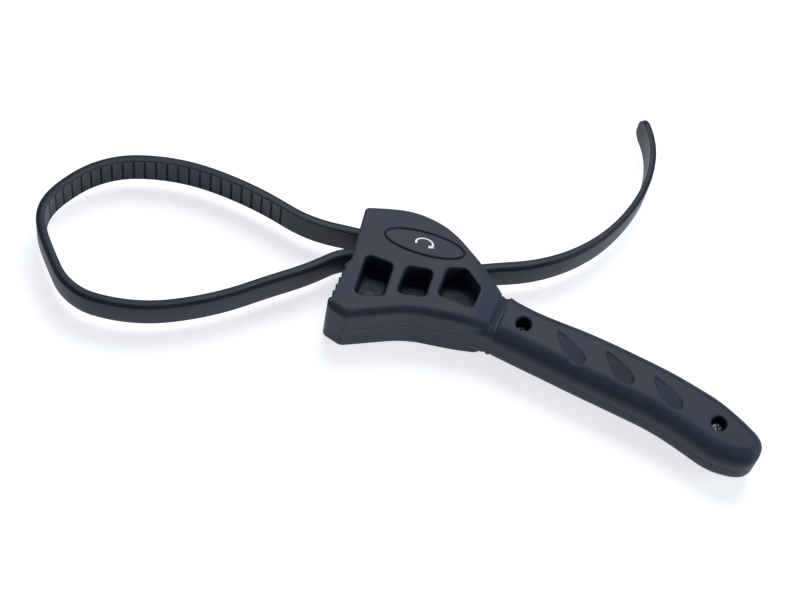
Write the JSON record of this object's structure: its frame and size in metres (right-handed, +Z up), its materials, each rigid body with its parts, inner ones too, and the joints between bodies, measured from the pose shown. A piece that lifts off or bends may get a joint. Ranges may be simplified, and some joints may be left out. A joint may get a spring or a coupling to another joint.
{
  "type": "rubber strap wrench",
  "caption": "Rubber strap wrench for oil filters: a toothed moulded head, a curved two-shell grip and a ribbed strap pinned in the head and run back through it.",
  "frame": {"origin": "on the head's lower face, on the rib between the first two pockets, in line with the anchor pin", "axes": "+Z up through the tool as it lies flat, +X from the strap loop towards the butt of the grip"},
  "size_m": [0.3973, 0.2049, 0.034],
  "materials": {
    "head_rubber": "moulded, fine matte grain",
    "badge_rubber": "moulded, smoother than the head",
    "grip_rubber": "moulded, soft satin",
    "strap_rubber": "vulcanised, satin",
    "pin_steel": "turned, plain",
    "screw_steel": "dull zinc plate"
  },
  "bodies": {
    "head": {"head_body": "head_rubber", "badge_plate": "badge_rubber", "anchor_pin": "pin_steel", "grip_upper_shell": "grip_rubber", "grip_lower_shell": "grip_rubber", "grip_screws": "screw_steel", "grip_nuts": "screw_steel"},
    "strap_eye_length": {"strap_eye_length": "strap_rubber"},
    "strap_far_2": {"strap_far_2": "strap_rubber"},
    "strap_far_3": {"strap_far_3": "strap_rubber"},
    "strap_far_4": {"strap_far_4": "strap_rubber"},
    "strap_far_bow": {"strap_far_bow": "strap_rubber"},
    "strap_running_length": {"strap_running_length": "strap_rubber"},
    "strap_near_1": {"strap_near_1": "strap_rubber"},
    "strap_near_2": {"strap_near_2": "strap_rubber"},
    "strap_near_3": {"strap_near_3": "strap_rubber"},
    "strap_near_4": {"strap_near_4": "strap_rubber"},
    "strap_near_bow": {"strap_near_bow": "strap_rubber"},
    "strap_tail_1": {"strap_tail_1": "strap_rubber"},
    "strap_tail_2": {"strap_tail_2": "strap_rubber"},
    "strap_tail_tip": {"strap_tail_tip": "strap_rubber"}
  },
  "joints": [
    {"name": "strap_feed", "type": "slide", "parent": "head", "child": "strap_running_length", "axis": [0.9959, 0.0906, 0], "range_m": [-0.01, 0.008]},
    {"name": "eye_turn", "type": "hinge", "parent": "head", "child": "strap_eye_length", "pos_m": [0, 0.0315, 0.017], "axis": [0, 0, 1], "range_deg": [-0.88, 1.09]},
    {"name": "far_bend_1", "type": "hinge", "parent": "strap_eye_length", "child": "strap_far_2", "pos_m": [-0.06535, 0.03669, 0.017], "axis": [0, 0, 1], "range_deg": [-3.12, 3.9]},
    {"name": "far_bend_2", "type": "hinge", "parent": "strap_far_2", "child": "strap_far_3", "pos_m": [-0.10977, 0.04818, 0.017], "axis": [0, 0, 1], "range_deg": [-2.85, 2.28]},
    {"name": "far_bend_3", "type": "hinge", "parent": "strap_far_3", "child": "strap_far_4", "pos_m": [-0.14947, 0.04593, 0.017], "axis": [0, 0, 1], "range_deg": [-4.78, 3.83]},
    {"name": "far_bend_4", "type": "hinge", "parent": "strap_far_4", "child": "strap_far_bow", "pos_m": [-0.17921, 0.0268, 0.017], "axis": [0, 0, 1], "range_deg": [-1.33, 1.06]},
    {"name": "near_bend_1", "type": "hinge", "parent": "strap_running_length", "child": "strap_near_1", "pos_m": [-0.03695, 0.01103, 0.017], "axis": [0, 0, 1], "range_deg": [-3.47, 4.33]},
    {"name": "near_bend_2", "type": "hinge", "parent": "strap_near_1", "child": "strap_near_2", "pos_m": [-0.07383, -0.0164, 0.017], "axis": [0, 0, 1], "range_deg": [-0.324, 0.263]},
    {"name": "near_bend_3", "type": "hinge", "parent": "strap_near_2", "child": "strap_near_3", "pos_m": [-0.11048, -0.03668, 0.017], "axis": [0, 0, 1], "range_deg": [-3.34, 2.68]},
    {"name": "near_bend_4", "type": "hinge", "parent": "strap_near_3", "child": "strap_near_4", "pos_m": [-0.14967, -0.04285, 0.017], "axis": [0, 0, 1], "range_deg": [-3.46, 2.77]},
    {"name": "near_bend_5", "type": "hinge", "parent": "strap_near_4", "child": "strap_near_bow", "pos_m": [-0.17343, -0.02978, 0.017], "axis": [0, 0, 1], "range_deg": [-1.21, 0.97]},
    {"name": "tail_flex", "type": "hinge", "parent": "strap_running_length", "child": "strap_tail_1", "pos_m": [0.05954, 0.03156, 0.017], "axis": [0, 0, 1], "range_deg": [-8, 8]},
    {"name": "tail_bend_2", "type": "hinge", "parent": "strap_tail_1", "child": "strap_tail_2", "pos_m": [0.08936, 0.04755, 0.017], "axis": [0, 0, 1], "range_deg": [-8, 8]},
    {"name": "tail_bend_3", "type": "hinge", "parent": "strap_tail_2", "child": "strap_tail_tip", "pos_m": [0.12214, 0.09668, 0.017], "axis": [0, 0, 1], "range_deg": [-8, 8]}
  ],
  "couplings": [
    {"joint": "eye_turn", "follows": "strap_feed", "rad_per_m": -1.87},
    {"joint": "far_bend_1", "follows": "strap_feed", "rad_per_m": -6.77},
    {"joint": "far_bend_2", "follows": "strap_feed", "rad_per_m": 4.93},
    {"joint": "far_bend_3", "follows": "strap_feed", "rad_per_m": 8.315},
    {"joint": "far_bend_4", "follows": "strap_feed", "rad_per_m": 2.28},
    {"joint": "near_bend_1", "follows": "strap_feed", "rad_per_m": -7.52},
    {"joint": "near_bend_2", "follows": "strap_feed", "rad_per_m": 0.53},
    {"joint": "near_bend_3", "follows": "strap_feed", "rad_per_m": 5.8},
    {"joint": "near_bend_4", "follows": "strap_feed", "rad_per_m": 5.995},
    {"joint": "near_bend_5", "follows": "strap_feed", "rad_per_m": 2.08},
    {"joint": "tail_bend_2", "follows": "tail_flex", "ratio": 1},
    {"joint": "tail_bend_3", "follows": "tail_flex", "ratio": 1}
  ]
}
